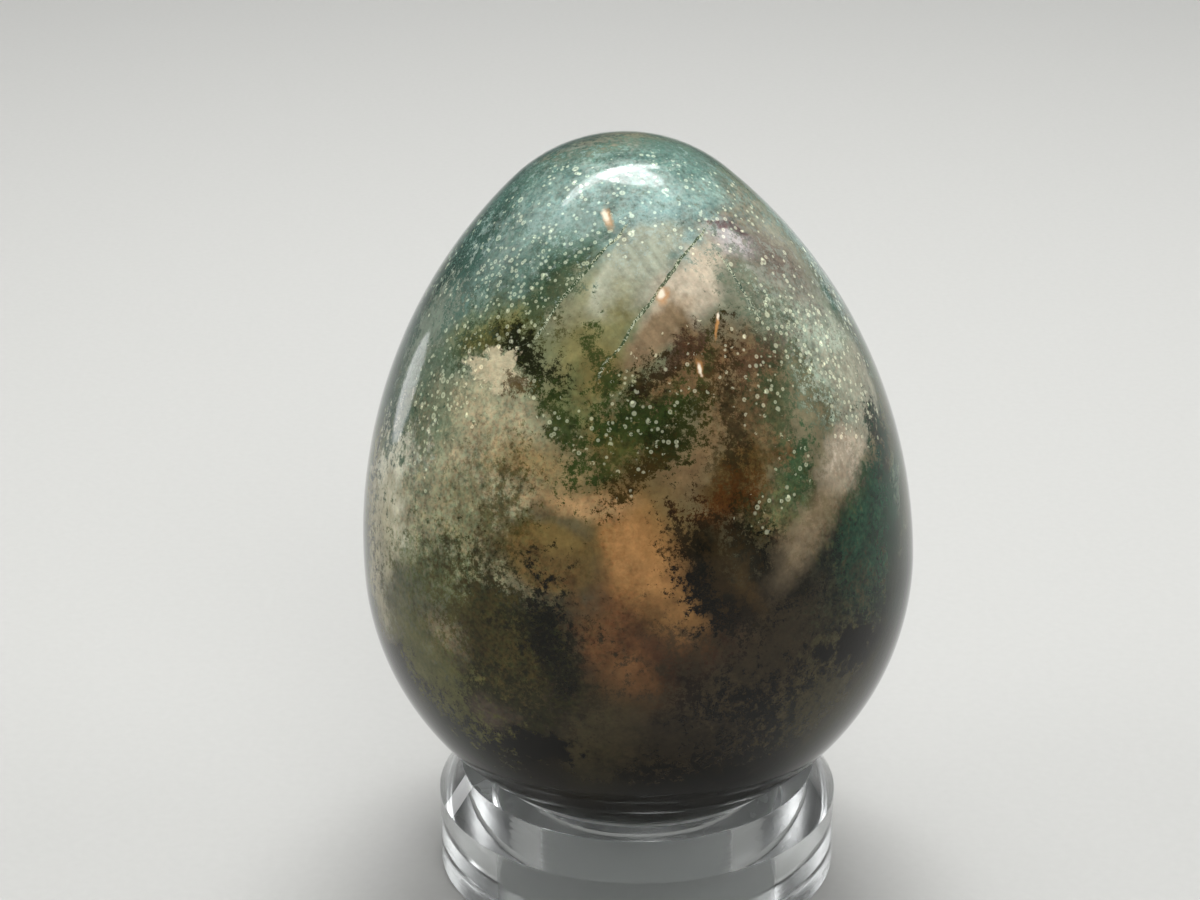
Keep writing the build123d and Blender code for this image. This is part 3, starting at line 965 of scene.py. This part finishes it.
    def cover(self, stone: StoneNodes, zones: tuple[Zone, ...]) -> bpy.types.NodeSocket:
        """Join zones, so that each point takes the strongest one over it.

        Args:
            stone: The shared nodes.
            zones: The zones.

        Returns:
            A socket that runs from 0 outside all of them to the strongest zone's strength.
        """
        covered = self.mask(stone, zones[0])
        for zone in zones[1:]:
            mask = self.mask(stone, zone)
            covered = add_node(stone.tree, "Math", {"operation": "MAXIMUM"}, {0: covered, 1: mask})
        return covered

    def laid(
        self, stone: StoneNodes, colour: bpy.types.NodeSocket, patches: tuple[Patch, ...]
    ) -> bpy.types.NodeSocket:
        """Lay patches over a colour, one over another.

        Args:
            stone: The shared nodes.
            colour: What lies under them.
            patches: The patches, lowest first.

        Returns:
            The new colour.
        """
        for patch in patches:
            mask = self.mask(stone, patch)
            tint = linear(patch.tint.value)
            colour = add_node(stone.tree, "Mix", BLEND, {0: mask, UNDER: colour, OVER: tint}, BLENDED)
        return colour

    def ground(self, stone: StoneNodes) -> bpy.types.NodeSocket:
        """Colour the plain stone: teal with clouds of other minerals, darker below, partly with dark moss
        and partly with painted shade.

        Args:
            stone: The shared nodes.

        Returns:
            The colour.
        """
        tree, noises = stone.tree, stone.noises
        deep, teal, low = (linear(t.value) for t in (Tint.DEEP_TEAL, Tint.TEAL, Tint.LOW_BROWN_AND_SHADE))
        colour = add_node(tree, "Mix", BLEND, {0: noises[Grain.CLOUDS], UNDER: deep, OVER: teal}, BLENDED)
        broad = add_node(
            tree, "TexNoise", {},
            {"Vector": stone.drifted, "Scale": 1 / self.cloud_size, "Detail": 3}, "Color",
        )
        channels = add_node(tree, "SeparateColor", {}, {0: broad}).node.outputs
        # Each mineral comes in where its own channel of the noise is above average
        for channel, mineral in zip(channels, (Tint.GREY_GREEN, Tint.TAUPE, Tint.GREY_TEAL)):
            share = add_node(
                tree, "MapRange", EASED,
                {"Value": channel, "From Min": 0.46, "From Max": 0.66, "To Max": 0.85},
            )
            tint = linear(mineral.value)
            colour = add_node(tree, "Mix", BLEND, {0: share, UNDER: colour, OVER: tint}, BLENDED)
        # Darker towards the bottom: partly the dark moss low in the stone, partly painted shade on the lower
        # half
        height = add_node(tree, "SeparateXYZ", {}, {0: stone.drifted}, "Z")
        depth = add_node(
            tree, "Math", {"operation": "MULTIPLY_ADD"}, {0: noises[Grain.MOSS], 1: self.ragged, 2: height}
        )
        above_moss_and_shade = add_node(
            tree, "MapRange", EASED, {"Value": depth, "From Min": self.moss_and_shade_below, "From Max": self.clear}
        )
        return add_node(tree, "Mix", BLEND, {0: above_moss_and_shade, UNDER: low, OVER: colour}, BLENDED)

    def grained(
        self, stone: StoneNodes, colour: bpy.types.NodeSocket, granular: bpy.types.NodeSocket
    ) -> bpy.types.NodeSocket:
        """Darken and lighten a colour by its grains, most of all where the stone is granular.

        Args:
            stone: The shared nodes.
            colour: The colour of the stone.
            granular: How granular it is, from 0 to 1.

        Returns:
            The new colour.
        """
        tree, noises = stone.tree, stone.noises
        grit = noises[Grain.GRIT]
        # Dark specks, where the grit's noise is high
        speck = add_node(
            tree, "MapRange", EASED, {"Value": grit, "From Min": 0.54, "From Max": 0.72, "To Max": 0.4}
        )
        shown = add_node(tree, "Math", {"operation": "MULTIPLY"}, {0: speck, 1: granular})
        colour = add_node(tree, "Mix", BLEND, {0: shown, UNDER: colour, OVER: linear(self.speck)}, BLENDED)
        # Cool and warm grains
        green = add_node(tree, "SeparateColor", {}, {0: grit.node.outputs["Color"]}, "Green")
        warmth = add_node(tree, "MapRange", {}, {"Value": green, "From Min": 0.3, "From Max": 0.7})
        cool, warm = (*self.cool_grain, 1), (*self.warm_grain, 1)
        hue = add_node(tree, "Mix", BLEND, {0: warmth, UNDER: cool, OVER: warm}, BLENDED)
        share = add_node(tree, "Math", {"operation": "MULTIPLY_ADD"}, {0: granular, 1: 0.65, 2: 0.1})
        hue = add_node(tree, "Mix", BLEND, {0: share, UNDER: WHITE, OVER: hue}, BLENDED)
        colour = add_node(tree, "VectorMath", {"operation": "MULTIPLY"}, {0: colour, 1: hue})
        # Crystals, light in the middle and dark where they meet
        crystals = add_node(tree, "TexVoronoi", {}, {"Vector": stone.drifted, "Scale": 1 / self.crystal})
        rounded = add_node(
            tree, "MapRange", {},
            {"Value": crystals, "From Min": 0.1, "From Max": 0.8, "To Min": 1.2, "To Max": 0.65},
        )
        mosaic = add_node(tree, "Mix", {}, {0: granular, 2: 1.0, 3: rounded})
        colour = add_node(tree, "VectorMath", {"operation": "SCALE"}, {0: colour, "Scale": mosaic})
        # Fine light and dark grains, deepest in granular stone, over a broad mottle
        depth = add_node(tree, "Math", {"operation": "MULTIPLY_ADD"}, {0: granular, 1: 2.2, 2: 0.5})
        centred = add_node(tree, "Math", {"operation": "SUBTRACT"}, {0: grit, 1: 0.5})
        fine = add_node(tree, "Math", {"operation": "MULTIPLY_ADD"}, {0: centred, 1: depth, 2: 1.0})
        mottle = add_node(
            tree, "Math", {"operation": "ADD"}, {0: noises[Grain.MOSS], 1: noises[Grain.CLOUDS]}
        )
        broad = add_node(
            tree, "MapRange", {},
            {"Value": mottle, "From Min": 0.6, "From Max": 1.4, "To Min": 0.5, "To Max": 1.5},
        )
        tone = add_node(tree, "Math", {"operation": "MULTIPLY"}, {0: fine, 1: broad})
        return add_node(tree, "VectorMath", {"operation": "SCALE"}, {0: colour, "Scale": tone})

    def dotted(
        self,
        stone: StoneNodes,
        colour: bpy.types.NodeSocket,
        density: bpy.types.NodeSocket,
        globe: tuple[float, float],
    ) -> bpy.types.NodeSocket:
        """Strew cream dots: small globes in the stone that the polish cuts through.

        Args:
            stone: The shared nodes.
            colour: The colour of the stone.
            density: Which share of the cells holds a globe.
            globe: Size of a cell and radius of the largest globes, in millimetres.

        Returns:
            The new colour.
        """
        tree = stone.tree
        cell, radius = globe
        globes = add_node(tree, "TexVoronoi", {}, {"Vector": stone.point, "Scale": 1 / cell})
        lots = add_node(tree, "SeparateColor", {}, {0: globes.node.outputs["Color"]}).node.outputs
        drawn = add_node(tree, "Math", {"operation": "LESS_THAN"}, {0: lots["Red"], 1: density})
        # The smallest globes have about half the radius, and each has a darker core
        size = radius / cell
        apart = add_node(
            tree, "Math", {"operation": "MULTIPLY_ADD"}, {0: lots["Green"], 1: 0.45 * size, 2: globes}
        )
        disc = add_node(
            tree, "MapRange", EASED,
            {"Value": apart, "From Min": size, "From Max": 0.72 * size, "To Max": 0.95},
        )
        core = add_node(
            tree, "MapRange", EASED,
            {"Value": apart, "From Min": 0.6 * size, "From Max": 0.3 * size, "To Max": 0.55},
        )
        # Half the colour is the stone's own, brightened, so that the dots sit in it
        lit = add_node(tree, "VectorMath", {"operation": "SCALE"}, {0: colour, "Scale": 2.4})
        bead = add_node(tree, "Mix", BLEND, {0: 0.5, UNDER: lit, OVER: linear(self.globe)}, BLENDED)
        bead = add_node(tree, "Mix", BLEND, {0: core, UNDER: bead, OVER: colour}, BLENDED)
        shown = add_node(tree, "Math", {"operation": "MULTIPLY"}, {0: disc, 1: drawn})
        return add_node(tree, "Mix", BLEND, {0: shown, UNDER: colour, OVER: bead}, BLENDED)

    def beaded(
        self, stone: StoneNodes, colour: bpy.types.NodeSocket, vein: Patch
    ) -> bpy.types.NodeSocket:
        """String cream beads along a vein, at uneven distances and with some left out.

        Args:
            stone: The shared nodes.
            colour: The colour of the stone.
            vein: The vein.

        Returns:
            The new colour.
        """
        tree, noises = stone.tree, stone.noises
        placing = stone.egg.placing(vein, stone.studio)
        along, beside = placing.rows[0].normalized(), placing.rows[1].normalized()
        run = add_node(
            tree, "VectorMath", {"operation": "DOT_PRODUCT"}, {0: stone.wavered, 1: along}, "Value"
        )
        uneven = add_node(
            tree, "Math", {"operation": "MULTIPLY_ADD"},
            {0: noises[Grain.MOSS], 1: self.bead_wander, 2: run},
        )
        near = add_node(tree, "Math", {"operation": "PINGPONG"}, {0: uneven, 1: self.bead_gap / 2})
        off = add_node(
            tree, "VectorMath", {"operation": "DOT_PRODUCT"}, {0: stone.wavered, 1: beside}, "Value"
        )
        middle = placing.centre.y / placing.rows[1].length
        across = add_node(tree, "Math", {"operation": "SUBTRACT"}, {0: off, 1: middle})
        local = add_node(tree, "CombineXYZ", {}, {0: near, 1: across})
        apart = add_node(tree, "VectorMath", {"operation": "LENGTH"}, {0: local}, "Value")
        radius = self.bead_radius
        disc = add_node(
            tree, "MapRange", EASED,
            {"Value": apart, "From Min": radius, "From Max": 0.6 * radius, "To Max": 0.85},
        )
        kept = add_node(
            tree, "MapRange", {}, {"Value": noises[Grain.FLECKS], "From Min": 0.36, "From Max": 0.46}
        )
        strung = add_node(tree, "Math", {"operation": "MULTIPLY"}, {0: disc, 1: kept})
        wide = self.mask(stone, replace(vein, width=1.0, strength=1.0))
        shown = add_node(tree, "Math", {"operation": "MULTIPLY"}, {0: strung, 1: wide})
        return add_node(tree, "Mix", BLEND, {0: shown, UNDER: colour, OVER: linear(self.bead)}, BLENDED)

    def silky(self, stone: StoneNodes, colour: bpy.types.NodeSocket, zone: Zone) -> bpy.types.NodeSocket:
        """Draw faint fibres along a zone.

        Args:
            stone: The shared nodes.
            colour: The colour of the stone.
            zone: The zone, whose length gives the fibres' direction.

        Returns:
            The new colour.
        """
        tree = stone.tree
        placing = stone.egg.placing(zone, stone.studio)
        rows = [row.normalized() / size for row, size in zip(placing.rows, self.fibre)]
        stretched = [
            add_node(tree, "VectorMath", {"operation": "DOT_PRODUCT"}, {0: stone.wavered, 1: row}, "Value")
            for row in rows
        ]
        local = add_node(tree, "CombineXYZ", {}, dict(enumerate(stretched)))
        fibres = add_node(tree, "TexNoise", {}, {"Vector": local, "Scale": 1.0, "Detail": 3})
        centred = add_node(tree, "Math", {"operation": "SUBTRACT"}, {0: fibres, 1: 0.5})
        mask = self.mask(stone, zone)
        faint = add_node(tree, "Math", {"operation": "MULTIPLY"}, {0: centred, 1: mask})
        tone = add_node(tree, "Math", {"operation": "MULTIPLY_ADD"}, {0: faint, 1: 0.8, 2: 1.0})
        return add_node(tree, "VectorMath", {"operation": "SCALE"}, {0: colour, "Scale": tone})

    def material(self, egg: "StoneEgg", studio: Studio) -> bpy.types.Material:
        """Build the stone's material.

        Args:
            egg: The egg that it goes on.
            studio: The studio, whose eye places the patches.

        Returns:
            The finished material.
        """
        material, tree, shader = new_material("polished_moss_agate")
        stone = self.shared(tree, egg, studio)
        noises = stone.noises
        colour = self.laid(stone, self.ground(stone), CLOUDS)
        colour = self.silky(stone, colour, SILK)
        colour = self.laid(stone, colour, (*MOSSES, PIT, PIT_CRUMBS))
        colour = self.grained(stone, colour, self.cover(stone, GRANULAR_ZONES))
        colour = self.laid(stone, colour, VEINS)
        for vein in VEINS:
            colour = self.beaded(stone, colour, vein)
        # Dots gather in clumps
        density = self.cover(stone, DOT_ZONES)
        clump = add_node(
            tree, "MapRange", {},
            {"Value": noises[Grain.MOSS], "From Min": 0.58, "From Max": 0.46, "To Min": 0.15},
        )
        density = add_node(tree, "Math", {"operation": "MULTIPLY"}, {0: density, 1: clump})
        colour = self.dotted(stone, colour, density, self.small_globe)
        sparse = add_node(tree, "Math", {"operation": "MULTIPLY"}, {0: density, 1: self.large_share})
        colour = self.dotted(stone, colour, sparse, self.large_globe)
        # Painted glints, laid over everything else
        colour = self.laid(stone, colour, PAINTED_GLINTS)
        # The pit is rough, and the skin has faint smears
        pit = self.mask(stone, PIT)
        smeared = add_node(
            tree, "Math", {"operation": "MULTIPLY"}, {0: noises[Grain.CLOUDS], 1: 2 * self.gloss}
        )
        rough = add_node(
            tree, "Math", {"operation": "MULTIPLY_ADD"}, {0: pit, 1: self.pit_roughness, 2: smeared}
        )
        relief = add_node(tree, "Math", {"operation": "MULTIPLY_ADD"}, {0: pit, 1: self.pit_relief, 2: 1.0})
        height = add_node(tree, "Math", {"operation": "MULTIPLY"}, {0: relief, 1: noises[Grain.GRIT]})
        grain = add_node(
            tree, "Bump", {}, {"Strength": 1.0, "Distance": self.relief * MM, "Height": height}
        )
        tree.links.new(grain, shader.inputs["Normal"])
        tree.links.new(colour, shader.inputs["Base Color"])
        tree.links.new(rough, shader.inputs["Roughness"])
        shader.inputs["IOR"].default_value = self.ior
        shader.inputs["Specular IOR Level"].default_value = self.mirroring
        return material


@dataclass(frozen=True)
class PolishedAcrylic:
    """Clear acrylic rod, turned to a ring and polished: water-clear, with bright mirror-like edges.

    The lathe leaves faint rings, handling leaves smudges, and the foot is scuffed by the table.

    Attributes:
        ior: Index of refraction.
        tint: Colour of the light that passes through.
        smudge: Roughness that a smudge adds.
        smudge_size: Size of a smudge in millimetres.
        scuff: Roughness that scuffs add at the foot.
        scuff_height: How far the scuffs reach up, in millimetres.
        ring_pitch: Spacing of the turning marks in millimetres, ten times the real one so that they show.
        ring_run: Millimetres over which a turning mark changes along its way round.
        ring_depth: Depth of a turning mark in millimetres.
    """

    ior: float = 1.49
    tint: str = "#F7FAFA"
    smudge: float = 0.05
    smudge_size: float = 5.0
    scuff: float = 0.25
    scuff_height: float = 0.5
    ring_pitch: float = 0.5
    ring_run: float = 20.0
    ring_depth: float = 0.004

    def material(self) -> bpy.types.Material:
        """Build the ring's material.

        Returns:
            The finished material.
        """
        material, tree, shader = new_material("turned_polished_acrylic")
        place = add_node(tree, "TexCoord", output="Object")
        point = add_node(tree, "VectorMath", {"operation": "SCALE"}, {0: place, "Scale": 1 / MM})
        smears = add_node(
            tree, "TexNoise", {}, {"Vector": point, "Scale": 1 / self.smudge_size, "Detail": 4}
        )
        smudged = add_node(
            tree, "MapRange", {},
            {"Value": smears, "From Min": 0.5, "From Max": 0.75, "To Max": self.smudge},
        )
        height = add_node(tree, "SeparateXYZ", {}, {0: point}, "Z")
        low = add_node(
            tree, "MapRange", {},
            {"Value": height, "From Min": self.scuff_height, "From Max": 0.0, "To Max": self.scuff},
        )
        rough = add_node(tree, "Math", {"operation": "ADD"}, {0: smudged, 1: low})
        turned = add_node(
            tree, "VectorMath", {"operation": "MULTIPLY"},
            {0: point, 1: (1 / self.ring_run, 1 / self.ring_run, 1 / self.ring_pitch)},
        )
        rings = add_node(tree, "TexNoise", {}, {"Vector": turned, "Scale": 1.0, "Detail": 2})
        marks = add_node(
            tree, "Bump", {}, {"Strength": 1.0, "Distance": self.ring_depth * MM, "Height": rings}
        )
        tree.links.new(rough, shader.inputs["Roughness"])
        tree.links.new(marks, shader.inputs["Normal"])
        shader.inputs["Base Color"].default_value = linear(self.tint)
        shader.inputs["Transmission Weight"].default_value = 1.0
        shader.inputs["IOR"].default_value = self.ior
        return material


@dataclass
class StoneEgg:
    """The solid stone egg, blunt end down.

    Attributes:
        height: Length along its axis in millimetres.
        width: Largest diameter.
        tip_radius: Radius of the pointed end.
        lean: Degrees by which the pointed end leans to the viewer's left.
        cells: Mesh cells along each side of the cube that is blown up to the egg.
        skin: How far the polished skin lies inside the ideal outline on average.
        wave: Height of the waves that hand polishing leaves.
        wave_size: Size of these waves.
        pit_depth: Depth of the crumbled cream pit.
        pit_lump: Size of the lumps in it.
        finish: The stone.
    """

    height: float = 55.0
    width: float = 43.0
    tip_radius: float = 12.2
    lean: float = 3.0
    cells: int = 120
    skin: float = 0.03
    wave: float = 0.02
    wave_size: float = 7.0
    pit_depth: float = 0.14
    pit_lump: float = 0.6
    finish: PolishedMossAgate = field(default_factory=PolishedMossAgate)

    @property
    def blunt_radius(self) -> float:
        """Radius of the blunt end."""
        return self.width / 2

    @property
    def axis(self) -> Vector:
        """Direction from the blunt to the pointed end."""
        lean = math.radians(self.lean)
        return Vector((-math.sin(lean), 0, math.cos(lean)))

    def reach(self, direction: Vector) -> float:
        """Measure the egg from the blunt end's centre.

        Args:
            direction: A unit vector.

        Returns:
            Millimetres from that centre to the surface.
        """
        blunt, tip = self.blunt_radius, self.tip_radius
        along = direction.dot(self.axis)
        if along <= 0:
            return blunt
        out = math.sqrt(max(0.0, 1 - along * along))
        tip_height = self.height - blunt - tip
        flank = (tip_height**2 + blunt**2 - tip**2) / (2 * (blunt - tip))
        flank_centre = blunt - flank
        turn = math.atan2(tip_height, flank - blunt)
        near = out * flank_centre
        reach = near + math.sqrt(near * near - flank_centre**2 + flank**2)
        if math.atan2(reach * along, reach * out - flank_centre) <= turn:
            return reach
        near = along * tip_height
        return near + math.sqrt(near * near - tip_height**2 + tip**2)

    def outside(self, point: Vector) -> float:
        """Millimetres by which a point lies outside the surface, seen from the blunt end's centre."""
        return point.length - self.reach(point.normalized())

    def normal(self, point: Vector) -> Vector:
        """Find the outward direction of the surface.

        Args:
            point: A point on the surface, in millimetres about the blunt end's centre.

        Returns:
            A unit vector.
        """
        step = 0.05
        axes = (Vector((step, 0, 0)), Vector((0, step, 0)), Vector((0, 0, step)))
        return Vector([self.outside(point + a) - self.outside(point - a) for a in axes]).normalized()

    def seen_point(self, eye: Vector, target: Vector) -> Vector:
        """Find where a line of sight meets the egg.

        Args:
            eye: Where it starts, in millimetres about the blunt end's centre.
            target: A point that it passes through.

        Returns:
            The first point on the surface, or the nearest one to a line that misses.
        """
        sight = (target - eye).normalized()
        near, far = 0.0, -eye.dot(sight)
        deepest = eye + sight * far
        if self.outside(deepest) >= 0:
            return deepest.normalized() * self.reach(deepest.normalized())
        halvings = 40
        for _ in range(halvings):
            middle = (near + far) / 2
            if self.outside(eye + sight * middle) > 0:
                near = middle
            else:
                far = middle
        return eye + sight * far

    def placing(self, spot: Patch | Zone, studio: Studio) -> Placing:
        """Lay a spot on the surface where the eye sees it.

        Args:
            spot: The patch or zone.
            studio: The studio, which gives the eye.

        Returns:
            The ellipsoid that looks like the spot from there.
        """
        eye, right, upward = studio.eye(spot.side)
        target = right * spot.across + upward * spot.up
        at = self.seen_point(eye, target)
        sight = (at - eye).normalized()
        outward = self.normal(at)
        # Near the outline the surface is seen edge on, so the stretch has a limit there
        edge_on = -0.3
        facing = min(edge_on, sight.dot(outward))
        turn = math.radians(spot.turn)
        along = right * math.cos(turn) + upward * math.sin(turn)
        beside = upward * math.cos(turn) - right * math.sin(turn)
        along, beside = (d - sight * (d.dot(outward) / facing) for d in (along, beside))
        beside = beside - along * (beside.dot(along) / along.length_squared)
        nearness = (at - eye).length / (target - eye).length
        half_length = spot.length * nearness * along.length
        half_width = spot.width * nearness * beside.length
        # Deep enough that the curve of the surface stays inside
        half_depth = max(half_length, half_width) + 1
        rows = (
            along.normalized() / half_length,
            beside.normalized() / half_width,
            along.cross(beside).normalized() / half_depth,
        )
        return Placing(rows, Vector([row.dot(at) for row in rows]))

    def dent(self, point: Vector, pit: Placing) -> float:
        """Measure how deep the surface is broken at a point, where the soft cream mineral has crumbled.

        Args:
            point: A point on the surface, in millimetres about the blunt end's centre.
            pit: Where the pit lies.

        Returns:
            Its depth in millimetres.
        """
        # The rim and its slope are in parts of the pit's half-size
        rim, slope = 1.3, 0.6
        apart = (Vector([row.dot(point) for row in pit.rows]) - pit.centre).length
        inside = min(1.0, max(0.0, (rim - apart) / slope))
        # Lumps leave from a fifth of the depth to all of it
        broken = 0.6 + 0.8 * noise.noise(point / self.pit_lump)
        return inside * self.pit_depth * broken

    def build(self, studio: Studio) -> bpy.types.Object:
        """Build the egg from a cube blown up to its outline, and dress it.

        Args:
            studio: The studio, whose camera places the patches.

        Returns:
            The egg.
        """
        n = self.cells
        pit = self.placing(PIT, studio)
        numbers: dict[tuple[int, int, int], int] = {}
        points: list[Vector] = []

        def corner(i: int, j: int, k: int) -> int:
            """Find the point of the egg that stands for a point of the cube's surface.

            Args:
                i: Cells along the first side of the cube.
                j: Cells along the second side.
                k: Cells along the third side.

            Returns:
                The number of the point.
            """
            if (i, j, k) not in numbers:
                spread = Vector([math.tan(math.pi / 4 * (2 * c / n - 1)) for c in (i, j, k)]).normalized()
                wave = self.wave * noise.noise(spread * self.blunt_radius / self.wave_size)
                numbers[i, j, k] = len(points)
                point = spread * (self.reach(spread) - self.skin + wave)
                points.append((point - spread * self.dent(point, pit)) * MM)
            return numbers[i, j, k]

        faces: list[tuple[int, ...]] = []
        for a in range(n):
            for b in range(n):
                square = ((a, b), (a + 1, b), (a + 1, b + 1), (a, b + 1))
                faces.append(tuple(corner(n, u, v) for u, v in square))
                faces.append(tuple(corner(0, v, u) for u, v in square))
                faces.append(tuple(corner(v, n, u) for u, v in square))
                faces.append(tuple(corner(u, 0, v) for u, v in square))
                faces.append(tuple(corner(u, v, n) for u, v in square))
                faces.append(tuple(corner(v, u, 0) for u, v in square))
        egg = new_mesh_object("polished_egg", points, faces)
        egg.data.materials.append(self.finish.material(self, studio))
        return egg


@dataclass
class AcrylicRing:
    """The clear ring that the egg stands in.

    Attributes:
        diameter: Outer diameter in millimetres.
        height: Height.
        bore: Diameter of the hole.
        bevel_width: Width of the bevel round the top, measured inwards.
        bevel_height: Height of that bevel.
        foot_break: Size of the broken edges at the foot.
        seat_width: Width of the seat ground into the top of the bore.
        seat_depth: Depth of that seat.
        rounding: Radius that polishing leaves on the edges.
        rounding_steps: Mesh cells round each of these edges.
        turns: Mesh cells round the ring.
        finish: The acrylic.
    """

    diameter: float = 32.0
    height: float = 9.0
    bore: float = 23.0
    bevel_width: float = 1.8
    bevel_height: float = 2.6
    foot_break: float = 0.3
    seat_width: float = 0.5
    seat_depth: float = 0.32
    rounding: float = 0.1
    rounding_steps: int = 4
    turns: int = 240
    finish: PolishedAcrylic = field(default_factory=PolishedAcrylic)

    def section(self) -> list[tuple[float, float, float, float]]:
        """Draw the ring's section with polished edges.

        Returns:
            Radius, height and the outward direction of each point, counter-clockwise.
        """
        inner, outer, top = self.bore / 2, self.diameter / 2, self.height
        corners = [
            Vector((inner + self.foot_break, 0)),
            Vector((outer - self.foot_break, 0)),
            Vector((outer, self.foot_break)),
            Vector((outer, top - self.bevel_height)),
            Vector((outer - self.bevel_width, top)),
            Vector((inner + self.seat_width, top)),
            Vector((inner, top - self.seat_depth)),
            Vector((inner, self.foot_break)),
        ]
        drawn = []
        for before, at, after in zip(corners[-1:] + corners[:-1], corners, corners[1:] + corners[:1]):
            come, leave = (at - before).normalized(), (after - at).normalized()
            start, end = Vector((come.y, -come.x)), Vector((leave.y, -leave.x))
            bend = start.angle(end)
            trim = self.rounding * math.tan(bend / 2)
            pivot = at - come * trim - start * self.rounding
            for step in range(self.rounding_steps + 1):
                part = step / self.rounding_steps
                out = (start * math.sin((1 - part) * bend) + end * math.sin(part * bend)).normalized()
                spot = pivot + out * self.rounding
                drawn.append((spot.x, spot.y, out.x, out.y))
        return drawn

    def build(self) -> bpy.types.Object:
        """Turn the section about the ring's axis and dress it.

        Returns:
            The ring.
        """
        section = self.section()
        count = len(section)
        points, normals, faces = [], [], []
        for turn in range(self.turns):
            angle = 2 * math.pi * turn / self.turns
            round_x, round_y = math.cos(angle), math.sin(angle)
            for radius, height, out, rise in section:
                points.append(Vector((radius * round_x, radius * round_y, height)) * MM)
                normals.append((out * round_x, out * round_y, rise))
            start, after = turn * count, (turn + 1) % self.turns * count
            for k in range(count):
                following = (k + 1) % count
                faces.append((start + k, after + k, after + following, start + following))
        ring = new_mesh_object("turned_ring", points, faces)
        ring.data.normals_split_custom_set_from_vertices(normals)
        ring.data.materials.append(self.finish.material())
        return ring


def main() -> None:
    """Build the egg, the ring and the studio, and report each piece."""
    logging.basicConfig(level=logging.INFO, format="%(name)s: %(message)s")
    bpy.context.scene.view_settings.view_transform = "Standard"
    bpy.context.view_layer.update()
    low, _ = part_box("stone_egg")
    stone_egg = StoneEgg()
    centre = Vector((0, 0, low.z + stone_egg.blunt_radius * MM))

    studio = Studio()
    studio.set_camera(centre)
    studio.lay_floor()
    studio.light(centre)

    egg = stone_egg.build(studio)
    egg.location = centre
    ring = AcrylicRing().build()
    bpy.context.view_layer.update()
    for piece, node, body, slot in (
        (egg, "stone_egg", "egg", "polished_stone"),
        (ring, "acrylic_ring", "ring", "clear_acrylic"),
    ):
        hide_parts(node)
        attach(piece, body)
        log.info("%s: %d faces, rides %s", piece.name, len(piece.data.polygons), body)


if __name__ == "__main__":
    main()
